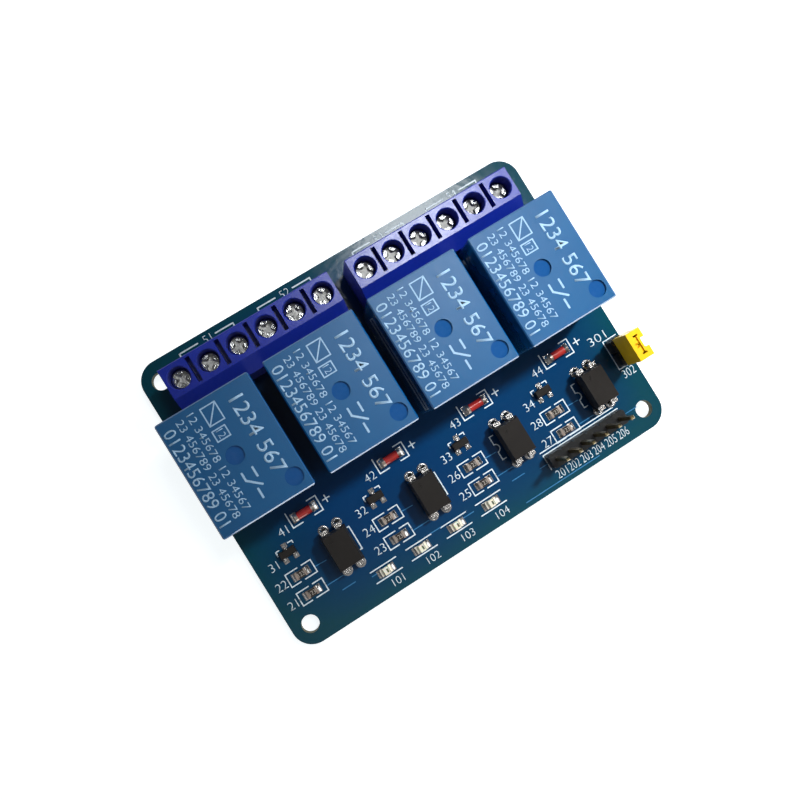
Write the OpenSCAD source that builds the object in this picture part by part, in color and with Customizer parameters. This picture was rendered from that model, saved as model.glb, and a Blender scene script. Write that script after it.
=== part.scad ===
// Four-channel relay module: circuit board with four sealed relays, screw terminals,
// optocouplers, small surface-mounted parts, an input header and a supply jumper.
// Origin: centre of the four mounting holes, on the underside of the board. Z is up,
// X runs along the long side and the wire side of the terminals faces +Y.

/* [Circuit board] */
// Length of the board along X
board_l = 73.5; // [72.5:0.1:78]
// Width of the board along Y
board_w = 53.6; // [53:0.1:58]
// Thickness of the board
board_t = 1.6; // [1:0.1:2.4]
// Radius of the board's corners
board_corner_r = 3.6; // [1:0.1:4.5]
// Distance from a mounting hole to the board's end
hole_in_x = 3.2; // [2.8:0.05:3.35]
// Distance from a mounting hole to the board's long side
hole_in_y = 3.5; // [3.1:0.05:3.8]
// Diameter of a mounting hole
hole_d = 3; // [2:0.1:3.1]
// How far every soldered tail reaches below the board
tail_l = 2; // [1.4:0.1:3]

/* [Relays] */
// Length of a relay along Y
relay_l = 19.3; // [18.8:0.1:19.4]
// Width of a relay along X
relay_w = 15.5; // [15:0.1:16.5]
// Height of a relay above the board
relay_h = 15.6; // [12:0.1:20]
// Distance from one relay to the next
relay_pitch = 18; // [17.2:0.1:18.4]
// Place of the row of relays along X
relay_row_x = -1.15; // [-1.4:0.05:-0.5]
// Place of the row of relays along Y
relay_y = 5.75; // [5.5:0.05:5.85]
// Radius of a relay's upright edges
relay_edge_r = 0.4; // [0.3:0.1:1.5]
// Bevel round a relay's top
relay_bevel = 0.2; // [0.1:0.05:0.8]
// Thickness of a relay's side walls round its base
relay_wall = 0.9; // [0.6:0.1:1.2]
// Thickness of a relay's base plate
relay_base_t = 1.3; // [0.8:0.1:2]
// Height of the feet that lift a relay off the board
relay_foot_h = 0.3; // [0.2:0.05:0.6]
// Diameter of the round marks in a relay's top
relay_mark_d = 2.8; // [2:0.1:3.2]
// Depth of the round marks in a relay's top
relay_mark_depth = 0.3; // [0.1:0.05:0.5]

/* [Screw terminals] */
// Distance from one terminal screw to the next
pole_pitch = 5.08; // [5:0.01:5.12]
// Height of a terminal above the board
terminal_h = 10.1; // [9.4:0.1:12]
// Gap between the relays and the terminals
terminal_gap = 0.3; // [0.25:0.05:0.7]
// Middle of the two rows of terminals along X
terminal_row_x = -0.4; // [-0.5:0.05:-0.2]
// Gap between the two rows of terminals
terminal_row_gap = 2.82; // [2.6:0.02:2.9]
// Distance from the screws to the wire side of a terminal
terminal_front = 2.62; // [2.5:0.02:3.2]
// Distance from the screws to the rear side of a terminal
terminal_rear = 4.85; // [4.6:0.05:4.9]
// Distance from an end screw to the end of its row
terminal_end = 2.3; // [2.2:0.02:2.3]
// Run of the slope on the rear side of a terminal
terminal_slope = 2.3; // [1.5:0.1:2.4]
// Diameter of the well over a terminal screw
well_d = 3.5; // [3.3:0.1:3.7]
// Width of the slots between the wells
slot_w = 0.75; // [0.4:0.05:0.8]
// Length of the slots between the wells
slot_l = 4.3; // [3:0.1:4.4]
// Depth of the slots between the wells
slot_depth = 2.4; // [1:0.1:2.6]

/* [Terminal screws and clamps] */
// Diameter of a screw's head
screw_head_d = 3.2; // [2.8:0.05:3.25]
// Height of a screw's head
screw_head_h = 1.1; // [1:0.05:1.5]
// Diameter of a screw's threaded shank
screw_d = 2.4; // [2:0.1:2.5]
// Depth of the cross in a screw's head
cross_depth = 0.75; // [0.4:0.05:0.8]
// Width of the cross in a screw's head
cross_w = 0.7; // [0.4:0.05:0.8]
// Clear gap between a screw and what it turns in
thread_gap = 0.05; // [0.03:0.01:0.1]
// Width of a wire clamp along X
clamp_w = 3.6; // [3.4:0.05:3.7]
// Depth of a wire clamp along Y
clamp_depth = 3; // [2.4:0.1:3.2]
// Thickness of a wire clamp's threaded top
clamp_top_t = 0.8; // [0.6:0.05:1]
// Thickness of a wire clamp's sides and floor
clamp_wall = 0.45; // [0.3:0.05:0.5]
// Height that a wire clamp rises from open to closed
clamp_travel = 1.6; // [1:0.1:1.8]
// Room for a wire in an open clamp
wire_room = 1.95; // [1.9:0.05:2.3]
// Thickness of the fixed contact bar
contact_t = 0.7; // [0.5:0.05:0.8]

/* [Optocouplers] */
// Distance from one channel's small parts to the next
channel_pitch = 16.8; // [16.6:0.1:17]
// Middle of the channels' optocouplers along X
channel_row_x = 2.56; // [2.4:0.02:2.8]
// Place of the optocouplers along Y
opto_y = -15.4; // [-15.6:0.05:-15.3]
// Length of an optocoupler's body along Y
opto_l = 6.5; // [6:0.1:6.8]
// Width of an optocoupler's body along X
opto_w = 4.58; // [4.2:0.02:4.8]
// Height of an optocoupler's body
opto_body_h = 3.5; // [3:0.1:4]
// Gap under an optocoupler's body
opto_lift = 0.5; // [0.3:0.05:0.8]
// Distance between an optocoupler's two rows of leads
opto_row = 7.62; // [7.5:0.02:7.8]

/* [Small surface parts] */
// Length of a resistor or a light
chip_l = 2; // [1.6:0.1:2.4]
// Width of a resistor or a light
chip_w = 1.25; // [1:0.05:1.4]
// Height of a resistor
resistor_h = 0.5; // [0.4:0.05:0.8]
// Length of a resistor's metal end
chip_end_l = 0.4; // [0.25:0.05:0.6]
// Height of a light's base
light_base_h = 0.35; // [0.25:0.05:0.5]
// Height of a light's clear top
light_lens_h = 0.45; // [0.3:0.05:0.7]
// Distance from one light to the next
light_pitch = 6.92; // [6.6:0.02:7.2]
// Middle of the row of lights along X
light_row_x = -8.15; // [-8.6:0.05:-7.8]
// Distance from the optocouplers to the row of lights
light_dy = 7.25; // [7:0.05:7.6]
// Diameter of a diode
diode_d = 1.5; // [1.3:0.05:1.7]
// Length of a diode with its end caps
diode_l = 3.5; // [3.2:0.1:3.8]
// Length of a diode's end cap
diode_cap_l = 0.5; // [0.3:0.05:0.8]
// Length of a transistor's body
transistor_l = 2.9; // [2.7:0.1:3.1]
// Width of a transistor's body
transistor_w = 1.3; // [1.1:0.05:1.5]
// Height of a transistor's body
transistor_h = 1; // [0.9:0.05:1.2]
// Length of a solder patch along the part
patch_l = 1.05; // [0.8:0.05:1.2]
// Height of a solder patch
patch_h = 0.12; // [0.06:0.02:0.2]

/* [Headers and jumper] */
// Distance between header pins
pin_pitch = 2.54; // [2.5:0.01:2.58]
// Side of a square header pin
pin_w = 0.64; // [0.5:0.02:0.7]
// Height of a header pin above its base
pin_h = 6; // [5:0.1:8]
// Height of a header's base
header_base_h = 2.54; // [2:0.02:3]
// Number of pins in the input header
input_pins = 6; // [2:1:6]
// Distance from the input header's middle to the board's right end
input_in_x = 14.96; // [14.7:0.02:15.2]
// Distance from the optocouplers to the input header
input_dy = 6.7; // [6.5:0.05:6.9]
// Distance from the jumper header to the board's right end
jumper_in_x = 1.75; // [1.65:0.05:1.95]
// Place of the jumper header's middle along Y
jumper_y = -12.57; // [-12.8:0.05:-12.3]
// Height of the jumper cap
cap_h = 6; // [5:0.1:7]
// Width of the jumper cap along X
cap_w = 2.5; // [2.4:0.05:2.9]
// Length of the jumper cap along Y
cap_l = 5; // [4.8:0.05:5.4]
// Thickness of the top of the jumper cap
cap_top_t = 1.1; // [0.8:0.05:1.4]
// Thickness of the sheet that the jumper's spring clip is bent from
clip_t = 0.22; // [0.15:0.01:0.25]
// Clear gap between the spring clip and the pins
clip_gap = 0.06; // [0.03:0.01:0.1]

/* [Hidden] */
$fn = 48;
CHANNELS = 4;
POLES = 3;                       // screws in one terminal
eps = 0.01;                      // overrun of a cut past a face
top = board_t;                   // level of the board's upper face
hole_x = board_l / 2 - hole_in_x;
hole_y = board_w / 2 - hole_in_y;
drill_gap = 0.15;                // gap round a tail in its hole

// --- relays
function relay_x(i) = relay_row_x + (i - (CHANNELS - 1) / 2) * relay_pitch;
relay_base_gap = 0.1;            // gap round the base plate inside the case
relay_base_sink = 0.2;           // how deep the base plate sits inside the case
relay_recess_h = relay_base_t + relay_base_sink;
RELAY_FOOT = [1.6, 1];           // section of a foot under a corner of the base plate
CORNER_MARK = [2.08, 2.55];      // corner mark, from the case's front right corner
coil_pin = [0.6, 0.6];           // section of a coil pin
contact_pin = [1.1, 0.4];        // section of a contact pin
side_pin_in = 1.75;              // side pins, from the case's side
contact_pin_in = 2.55;           // contact pins, from the case's end
coil_pin_in = 4.55;              // coil pins, from the case's front end
pin_x = relay_w / 2 - side_pin_in;
pin_y = relay_l / 2 - contact_pin_in;
coil_y = relay_l / 2 - coil_pin_in;
// place from the relay's middle and section of each pin
RELAY_PINS = [[0, -pin_y, contact_pin], [-pin_x, -coil_y, coil_pin], [pin_x, -coil_y, coil_pin],
              [-pin_x, pin_y, contact_pin], [pin_x, pin_y, contact_pin]];

// --- terminals
terminal_w = POLES * pole_pitch;
terminal_y = relay_y + relay_l / 2 + terminal_gap + terminal_rear;  // line of the screws
function housing_side(i) = i % 2 == 0 ? -1 : 1;                    // which half of its row
function row_side(i) = i < 2 ? -1 : 1;
function housing_x(i) = terminal_row_x + row_side(i) * (terminal_row_gap / 2 + terminal_w)
                        + housing_side(i) * terminal_w / 2;        // middle of a housing
function pole_x(n) = housing_x(floor(n / POLES)) + (n % POLES - 1) * pole_pitch;
contact_level = 3.5;                                               // fixed bar's top over the board
contact_top = top + contact_level;
contact_low = contact_top - contact_t;
contact_w = 2.5;
clamp_clear = 0.1;                                                 // over the bar when open
clamp_inner_h = contact_t + wire_room + clamp_clear;
clamp_z = contact_low - wire_room - clamp_wall;                    // underside of an open clamp
clamp_h = clamp_wall + clamp_inner_h + clamp_top_t;
cavity_gap = 0.1;
cavity_w = clamp_w + 2 * cavity_gap;
cavity_top = clamp_z + clamp_h + clamp_travel + cavity_gap;
ledge_t = 0.4;
seat_z = cavity_top + ledge_t;                                     // where a screw's head bears
seat_gap = 0.02;
leg_t = 0.8;                                                       // contact leg along Y
leg_w = 1;                                                         // contact leg along X
leg_gap = 0.6;                                                     // between leg and clamp
leg_y = -(clamp_depth / 2 + leg_t / 2 + leg_gap);                  // from the screws
cavity_rear = leg_y - leg_t / 2;
front_wall = 0.6;
rib_w = 1;                                                         // joining rib along Y
rib_h = 7;
rib_out = 0.4;
rib_in = 0.5;                                                      // from the rear side
rib_gap = 0.05;
entry_inset = 0.3;                                                 // entry narrower than the cavity
entry_over = 0.4;                                                  // entry above the bar's underside
entry_flare = 0.25;
head_bevel = 0.25;                                                 // round a screw's head
housing_edge = 0.15;                                               // cut edge of the top and of a well
cross_share = 0.84;                                                // cross against the head's width
cross_heart = 0.5;                                                 // cone amid the cross, likewise
SCREW_TURNS = [32, 58, 12, 40, 75, 20, 50, 8, 66, 35, 82, 24];     // how each cross happens to stand

// --- optocouplers
function channel_x(i) = channel_row_x + (i - (CHANNELS - 1) / 2) * channel_pitch;
opto_draft = 0.3;
opto_parting = 0.48;                                               // parting level, share of height
opto_mid = top + opto_lift + opto_body_h * opto_parting;           // level where the leads come out
opto_mark_d = 0.9;                                                 // round mark of the first lead
opto_mark_in = 1.2;                                                // its middle from the two sides
opto_mark_depth = 0.1;
shoulder_low = 1;                                                  // where the lead narrows
lead_t = 0.25;
shoulder_w = 1.2;
lead_w = 0.5;
lead_bite = 0.5;                                                   // length of lead inside a body

// --- surface parts, placed from their channel's optocoupler
RESISTOR_DX = -7.95;
RESISTOR_YS = [-15.55, -19.1];
DIODE_DX = -2.3;
diode_y = -7.25;
TRANSISTOR_DX = -7.95;
transistor_y = -11.4;
light_end_l = 0.35;                                                // bare metal at a light's end
light_lens_l = chip_l - 2 * light_end_l;
lens_draft = 0.12;
diode_step = 0.05;                                                 // end cap over the glass
light_y = opto_y - light_dy;
seat = top + patch_h;                                              // surface parts stand on solder
transistor_lead_w = 0.42;
transistor_lead_t = 0.12;
transistor_reach = 2.4;                                            // across the lead tips
transistor_pitch = 1.9;
transistor_lift = 0.06;                                            // body off the solder
transistor_draft = 0.1;
lead_root = 0.2;                                                   // lead inside the body
knee_near = 0.15;                                                  // knee of the lead, at the body
knee_far = 0.2;                                                    // and at the foot
TRANSISTOR_PATCH = [0.9, 0.8];                                     // solder under one lead
patch_shift = 0.1;                                                 // patch past the metal end
patch_over = 0.15;                                                 // patch wider than the part

// --- headers and jumper
input_x = board_l / 2 - input_in_x;
input_y = opto_y - input_dy;
jumper_x = board_l / 2 - jumper_in_x;
pin_top = top + header_base_h + pin_h;
pin_tip = 0.4;                                                     // pyramid point of a pin
cell_cut = 0.35;                                                   // cut corner of a header cell
rest_gap = 0.01;                                                   // under and over the clip's bridge
cap_top_z = pin_top + clip_t + cap_top_t + 2 * rest_gap;
cap_low_z = cap_top_z - cap_h;
cap_room_w = pin_w + 2 * (clip_gap + clip_t);
cap_room_over = 1.2;                                               // room past the two pins
cap_room_l = pin_pitch + pin_w + cap_room_over;
cap_lip = 0.12;                                                    // finger lip, out of the side
cap_lip_h = 1.3;
CAP_NOTCH = [0.75, 1.7, 2.2];                                      // notch down the outer side
cap_slot_w = 0.3;
cap_slot_in = 0.95;                                                // slot's end from the cap's end
cap_slot_l = cap_l - 2 * cap_slot_in;
CAP_BAR = [0.9, 0.28];                                             // bar across a slot's end
cap_hollow_d = 0.85;                                               // thumb hollow beside the slot
cap_hollow_x = -0.55;
cap_hollow_depth = 0.5;
clip_leg_in = 0.6;                                                 // clip's lower edge in the cap

// --- solder
joint_h = 0.9;
JOINT_OUT = [0.08, 0.22, 0.55];  // cone round a tail, past it at its point, its waist and the board
joint_waist = 0.45;              // level of the waist, share of the cone's height
ring_r = 0.9;                    // tinned ring round an optocoupler's hole
ring_lap = 0.06;                 // ring past the hole's edge

// ================================================================ shared forms
// flat outline with round corners
module rounded_rect(l, w, r) {
    square([l - 2 * r, w], center = true);
    square([l, w - 2 * r], center = true);
    for (x = [-1, 1], y = [-1, 1]) translate([x * (l / 2 - r), y * (w / 2 - r)]) circle(r);
}

// extrude a profile drawn in Y and Z along X, centred
module along_x(l) { rotate([90, 0, 90]) translate([0, 0, -l / 2]) linear_extrude(l) children(); }

// extrude a profile drawn in X and Z along Y, centred
module along_y(l) { rotate([90, 0, 0]) translate([0, 0, -l / 2]) linear_extrude(l) children(); }

// box that stands on z = 0
module block(x, y, z) { translate([-x / 2, -y / 2, 0]) cube([x, y, z]); }

// moulded body, widest at the parting level and drafted to its top and its foot
module drafted(x, y, z, part_z, draft) {
    intersection() {
        along_y(y) polygon([[-x/2 + draft, 0], [x/2 - draft, 0], [x/2, part_z],
                            [x/2 - draft, z], [draft - x/2, z], [-x/2, part_z]]);
        along_x(x) polygon([[-y/2 + draft, 0], [y/2 - draft, 0], [y/2, part_z],
                            [y/2 - draft, z], [draft - y/2, z], [-y/2, part_z]]);
    }
}

// every through-hole part: calls its child at each tail with the section of that tail
module at_relay_pins() {
    for (i = [0:CHANNELS - 1], p = RELAY_PINS)
        translate([relay_x(i) + p[0], relay_y + p[1], 0]) let($tail = p[2]) children();
}
module at_terminal_legs() {
    for (n = [0:CHANNELS * POLES - 1])
        translate([pole_x(n), terminal_y + leg_y, 0]) let($tail = [leg_w, leg_t]) children();
}
module at_opto_leads() {
    for (i = [0:CHANNELS - 1], x = [-1, 1], y = [-1, 1])
        translate([channel_x(i) + x * pin_pitch / 2, opto_y + y * opto_row / 2, 0])
            let($tail = [lead_w, lead_t]) children();
}
module at_input_pins() {
    for (n = [0:input_pins - 1])
        translate([input_x + (n - (input_pins - 1) / 2) * pin_pitch, input_y, 0])
            let($tail = [pin_w, pin_w]) children();
}
module at_jumper_pins() {
    for (s = [-1, 1])
        translate([jumper_x, jumper_y + s * pin_pitch / 2, 0]) let($tail = [pin_w, pin_w]) children();
}
module at_all_tails() {
    at_relay_pins() children();
    at_terminal_legs() children();
    at_opto_leads() children();
    at_input_pins() children();
    at_jumper_pins() children();
}
function tail_r() = norm($tail) / 2;

// ================================================================ circuit board
module circuit_board() {
    color("#0f3f7a") difference() {
        linear_extrude(board_t) rounded_rect(board_l, board_w, board_corner_r);
        for (x = [-1, 1], y = [-1, 1])
            translate([x * hole_x, y * hole_y, -eps])
                cylinder(d = hole_d, h = board_t + 2 * eps);
        at_all_tails() translate([0, 0, -eps])
            cylinder(r = tail_r() + drill_gap, h = board_t + 2 * eps, $fn = 24);
    }
}

// ================================================================ relays
module relay_case(i) {
    low = top + relay_foot_h;
    h = relay_h - relay_foot_h;
    color("#4d86bd") translate([relay_x(i), relay_y, low]) difference() {
        intersection() {
            linear_extrude(h) rounded_rect(relay_w, relay_l, relay_edge_r);
            along_y(relay_l) bevelled(relay_w, h);
            along_x(relay_w) bevelled(relay_l, h);
        }
        // seat of the base plate
        translate([0, 0, -eps])
            block(relay_w - 2 * relay_wall, relay_l - 2 * relay_wall, relay_recess_h + eps);
        // round marks in the top: one in the middle, one by the front right corner
        for (p = [[0, 0], [relay_w / 2 - CORNER_MARK[0], CORNER_MARK[1] - relay_l / 2]])
            translate([p[0], p[1], h - relay_mark_depth])
                cylinder(d = relay_mark_d, h = relay_mark_depth + eps);
    }
}
module bevelled(w, h) {
    polygon([[-w/2, 0], [w/2, 0], [w/2, h - relay_bevel], [w/2 - relay_bevel, h],
             [relay_bevel - w/2, h], [-w/2, h - relay_bevel]]);
}

module relay_base(i) {
    w = relay_w - 2 * relay_wall - 2 * relay_base_gap;
    l = relay_l - 2 * relay_wall - 2 * relay_base_gap;
    base_low = top + relay_foot_h + relay_recess_h - relay_base_t;
    color("#1d2f4a") difference() {
        translate([relay_x(i), relay_y, 0]) {
            translate([0, 0, base_low]) block(w, l, relay_base_t);
            for (x = [-1, 1], y = [-1, 1])
                translate([x * (w - RELAY_FOOT[0]) / 2, y * (l - RELAY_FOOT[1]) / 2, top])
                    block(RELAY_FOOT[0], RELAY_FOOT[1], base_low - top + eps);
        }
        for (p = RELAY_PINS) translate([relay_x(i) + p[0], relay_y + p[1], 0])
            block(p[2][0], p[2][1], top + relay_h);
    }
}

module relay_pins() {
    color("silver") at_relay_pins() translate([0, 0, -tail_l])
        block($tail[0], $tail[1], tail_l + top + relay_foot_h + relay_recess_h);
}

// ================================================================ screw terminals
module housing_profile() {
    h = terminal_h;
    polygon([[-terminal_rear, 0], [-terminal_rear, h - terminal_slope],
             [-terminal_rear + terminal_slope, h], [terminal_front - housing_edge, h],
             [terminal_front, h - housing_edge], [terminal_front, 0]]);
}

module terminal_housing(i) {
    side = housing_side(i);
    outer = terminal_w / 2 - pole_pitch / 2 + terminal_end;      // from the middle to the row's end
    low_x = side < 0 ? -outer : -terminal_w / 2;
    high_x = side < 0 ? terminal_w / 2 : outer;
    color("#1a2fa8") translate([housing_x(i), terminal_y, top]) difference() {
        union() {
            translate([(low_x + high_x) / 2, 0, 0]) along_x(high_x - low_x) housing_profile();
            if (side < 0) joining_rib(0);
        }
        if (side > 0) translate([-terminal_w, 0, 0]) joining_rib(rib_gap);
        for (p = [-1:1]) translate([p * pole_pitch, 0, 0]) {
            translate([0, 0, seat_z - top]) cylinder(d = well_d, h = terminal_h);
            translate([0, 0, terminal_h - housing_edge])
                cylinder(d1 = well_d, d2 = well_d + 2 * housing_edge, h = housing_edge + eps);
            cylinder(d = screw_d + 6 * thread_gap, h = terminal_h);    // clear of the thread
            // cavity for the clamp and the fixed contact, open below
            translate([-cavity_w / 2, cavity_rear, -eps])
                cube([cavity_w, terminal_front - front_wall - cavity_rear, cavity_top - top + eps]);
            wire_entry();
        }
        // slots between the wells, shared across the joint of two housings
        for (p = [-1:2]) if (abs(p * pole_pitch - pole_pitch / 2 + side * terminal_w / 2) > eps)
            translate([(p - 0.5) * pole_pitch, (terminal_front - terminal_rear + terminal_slope) / 2,
                       terminal_h - slot_depth])
                block(slot_w, slot_l, slot_depth + eps);
    }
}

// tapered way in for a wire, in the wire side
module wire_entry() {
    w = cavity_w - 2 * entry_inset;
    low = clamp_z + clamp_wall - top;
    high = contact_low - top + entry_over;
    translate([-w / 2, terminal_front - front_wall - eps, low])
        cube([w, front_wall + 2 * eps, high - low]);
    translate([-w / 2 - entry_flare, terminal_front - entry_flare, low - entry_flare])
        cube([w + 2 * entry_flare, entry_flare + eps, high - low + 2 * entry_flare]);
}

// rib on the end of the first housing of a row, and the groove that it slides into
module joining_rib(gap) {
    translate([terminal_w / 2 - eps, -terminal_rear + rib_in - gap, -gap])
        cube([rib_out + gap + eps, rib_w + 2 * gap, rib_h + 2 * gap]);
}

module terminal_contacts() {
    color("silver") for (n = [0:CHANNELS * POLES - 1]) translate([pole_x(n), terminal_y, 0]) {
        translate([-contact_w / 2, cavity_rear, contact_low])
            cube([contact_w, terminal_front - front_wall - cavity_gap - cavity_rear, contact_t]);
        translate([0, leg_y, -tail_l]) block(leg_w, leg_t, tail_l + contact_low + eps);
    }
}

module terminal_screw(n) {
    cross_z = seat_z + seat_gap + screw_head_h - cross_depth;
    color("#c9ccd0") translate([pole_x(n), terminal_y, 0]) difference() {
        union() {
            translate([0, 0, seat_z + seat_gap]) rotate_extrude()
                polygon([[0, 0], [screw_head_d / 2, 0], [screw_head_d / 2, screw_head_h - head_bevel],
                         [screw_head_d / 2 - head_bevel, screw_head_h], [0, screw_head_h]]);
            translate([0, 0, contact_top + seat_gap])
                cylinder(d = screw_d, h = seat_z - contact_top + screw_head_h / 2);
        }
        for (a = [0, 90]) rotate(a + SCREW_TURNS[n])
            translate([0, 0, cross_z]) block(screw_head_d * cross_share, cross_w, cross_depth + eps);
        translate([0, 0, cross_z])
            cylinder(d1 = cross_w, d2 = screw_head_d * cross_heart, h = cross_depth + eps);
    }
}

// loop round the contact bar and the wire; only its top is threaded
module wire_clamp(n) {
    color("#b9bcc0") translate([pole_x(n), terminal_y, clamp_z]) difference() {
        block(clamp_w, clamp_depth, clamp_h);
        translate([0, 0, clamp_wall])
            block(clamp_w - 2 * clamp_wall, clamp_depth + 2 * eps, clamp_inner_h);
        translate([0, 0, clamp_wall + clamp_inner_h / 2])
            cylinder(d = screw_d + 2 * thread_gap, h = clamp_h);
    }
}

// ================================================================ optocouplers
module optocoupler(i) {
    color("#1b1a1a") difference() {
        translate([channel_x(i), opto_y, top + opto_lift])
            drafted(opto_w, opto_l, opto_body_h, opto_mid - top - opto_lift, opto_draft);
        optocoupler_leads();
        // mark of the first lead
        translate([channel_x(i) - opto_w / 2 + opto_mark_in, opto_y + opto_l / 2 - opto_mark_in,
                   top + opto_lift + opto_body_h - opto_mark_depth])
            cylinder(d = opto_mark_d, h = opto_mark_depth + eps, $fn = 24);
    }
}

module optocoupler_leads() {
    outer = opto_row / 2 + lead_t / 2;
    inner = opto_l / 2 - lead_bite;
    color("silver") for (i = [0:CHANNELS - 1], x = [-1, 1], y = [-1, 1])
        translate([channel_x(i) + x * pin_pitch / 2, opto_y, 0]) scale([1, y, 1]) {
            translate([0, (outer + inner) / 2, opto_mid]) block(shoulder_w, outer - inner, lead_t);
            translate([0, opto_row / 2, top + shoulder_low])
                block(shoulder_w, lead_t, opto_mid - top - shoulder_low + lead_t);
            translate([0, opto_row / 2, -tail_l])
                block(lead_w, lead_t, tail_l + top + shoulder_low + eps);
        }
}

// ================================================================ surface parts
module at_resistors() {
    for (i = [0:CHANNELS - 1], y = RESISTOR_YS)
        translate([channel_x(i) + RESISTOR_DX, y, seat]) children();
}
module resistors() {
    color("#1d1a19") at_resistors() block(chip_l - 2 * chip_end_l, chip_w, resistor_h);
}
module resistor_ends() {
    color("silver") at_resistors() for (s = [-1, 1])
        translate([s * (chip_l - chip_end_l) / 2, 0, 0]) block(chip_end_l, chip_w, resistor_h);
}

module at_lights() {
    for (i = [0:CHANNELS - 1])
        translate([light_row_x + (i - (CHANNELS - 1) / 2) * light_pitch, light_y, seat]) children();
}
module light_bases() { color("#e8e4d2") at_lights() block(chip_l, chip_w, light_base_h); }
module light_lenses() {
    color("#f3edc8") at_lights() translate([0, 0, light_base_h]) intersection() {
        block(light_lens_l, chip_w, light_lens_h);
        along_y(chip_w) polygon([[-light_lens_l/2, 0], [light_lens_l/2, 0],
                                 [light_lens_l/2 - lens_draft, light_lens_h],
                                 [lens_draft - light_lens_l/2, light_lens_h]]);
    }
}

module at_diodes() {
    for (i = [0:CHANNELS - 1])
        translate([channel_x(i) + DIODE_DX, diode_y, seat + diode_d / 2]) rotate([0, 90, 0]) children();
}
module diode_bodies() {
    h = diode_l - 2 * diode_cap_l;
    color("#a3221c") at_diodes() translate([0, 0, -h / 2]) cylinder(d = diode_d - 2 * diode_step, h = h);
}
module diode_caps() {
    color("silver") at_diodes() for (s = [-1, 1])
        translate([0, 0, s * (diode_l - diode_cap_l) / 2 - diode_cap_l / 2])
            cylinder(d = diode_d, h = diode_cap_l);
}

// one gull-wing lead, from the body's side at y = 0 outwards along +Y
module wing_lead() {
    reach = (transistor_reach - transistor_w) / 2;
    t = transistor_lead_t;
    mid = transistor_h / 2;
    along_x(transistor_lead_w)
        polygon([[-lead_root, mid], [knee_near, mid], [knee_far, 0], [reach, 0], [reach, t],
                 [knee_far + t, t], [knee_near + t, mid + t], [-lead_root, mid + t]]);
}
module at_transistors() {
    for (i = [0:CHANNELS - 1]) translate([channel_x(i) + TRANSISTOR_DX, transistor_y, seat]) children();
}
module transistor_leads() {
    color("silver") at_transistors() {
        translate([0, transistor_w / 2, 0]) wing_lead();
        for (x = [-1, 1])
            translate([x * transistor_pitch / 2, -transistor_w / 2, 0]) rotate(180) wing_lead();
    }
}
module transistors() {
    color("#181818") difference() {
        at_transistors() translate([0, 0, transistor_lift])
            drafted(transistor_l, transistor_w, transistor_h - transistor_lift, transistor_h / 2,
                    transistor_draft);
        transistor_leads();
    }
}

// ================================================================ headers and jumper
module header_base(count) {
    half = pin_pitch / 2;
    cut = half - cell_cut;
    for (n = [0:count - 1]) translate([(n - (count - 1) / 2) * pin_pitch, 0, top])
        linear_extrude(header_base_h) {
            polygon([[-half, -cut], [-cut, -half], [cut, -half], [half, -cut],
                     [half, cut], [cut, half], [-cut, half], [-half, cut]]);
            if (n < count - 1) translate([half, 0]) square([2 * eps, 2 * cut], center = true);
        }
}
// square pin with a pyramid point at its upper end
module header_pin() {
    translate([0, 0, -tail_l]) intersection() {
        block(pin_w, pin_w, tail_l + pin_top);
        along_x(pin_w) pin_side();
        along_y(pin_w) pin_side();
    }
}
module pin_side() {
    w = pin_w / 2;
    z = tail_l + pin_top;
    polygon([[-w, 0], [w, 0], [w, z - pin_tip], [w - pin_tip / 2, z], [pin_tip / 2 - w, z],
             [-w, z - pin_tip]]);
}

module input_header_base() {
    color("#161616") difference() {
        translate([input_x, input_y, 0]) header_base(input_pins);
        at_input_pins() block(pin_w, pin_w, pin_top);
    }
}
module input_header_pins() { color("#b8b2a0") at_input_pins() header_pin(); }
module jumper_header_base() {
    color("#161616") difference() {
        translate([jumper_x, jumper_y, 0]) rotate(90) header_base(2);
        at_jumper_pins() block(pin_w, pin_w, pin_top);
    }
}
module jumper_header_pins() { color("#b8b2a0") at_jumper_pins() header_pin(); }

// open-topped jumper cap: slot for the clip, notch in its outer side, finger lip on its inner side
module jumper_cap() {
    color("#f2c511") translate([jumper_x, jumper_y, cap_low_z]) difference() {
        union() {
            block(cap_w, cap_l, cap_h);
            translate([-cap_lip, 0, cap_h - cap_lip_h]) block(cap_w, cap_l, cap_lip_h);
        }
        translate([0, 0, -eps]) block(cap_room_w, cap_room_l, cap_h - cap_top_t + eps);
        translate([cap_w / 2 - CAP_NOTCH[0] / 2 + eps, 0, cap_h - CAP_NOTCH[2]])
            block(CAP_NOTCH[0], CAP_NOTCH[1], CAP_NOTCH[2] + eps);
        // slot over the clip, with a short bar across each end
        translate([0, 0, cap_h - cap_top_t - eps]) {
            block(cap_slot_w, cap_slot_l, cap_top_t + 2 * eps);
            for (s = [-1, 1]) translate([0, s * cap_slot_l / 2, 0])
                block(CAP_BAR[0], CAP_BAR[1], cap_top_t + 2 * eps);
        }
        translate([cap_hollow_x, 0, cap_h - cap_hollow_depth])
            cylinder(d = cap_hollow_d, h = cap_hollow_depth + eps, $fn = 24);
    }
}

// sheet clip: a bridge on the pins' points with two springy sides
module jumper_clip() {
    leg_low = cap_low_z + clip_leg_in;
    color("#c08a3a") translate([jumper_x, jumper_y, 0]) {
        translate([0, 0, pin_top + rest_gap]) block(cap_room_w, cap_room_l, clip_t);
        for (s = [-1, 1]) translate([s * (cap_room_w - clip_t) / 2, 0, leg_low])
            block(clip_t, cap_room_l, pin_top + clip_t - leg_low);
    }
}

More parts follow.
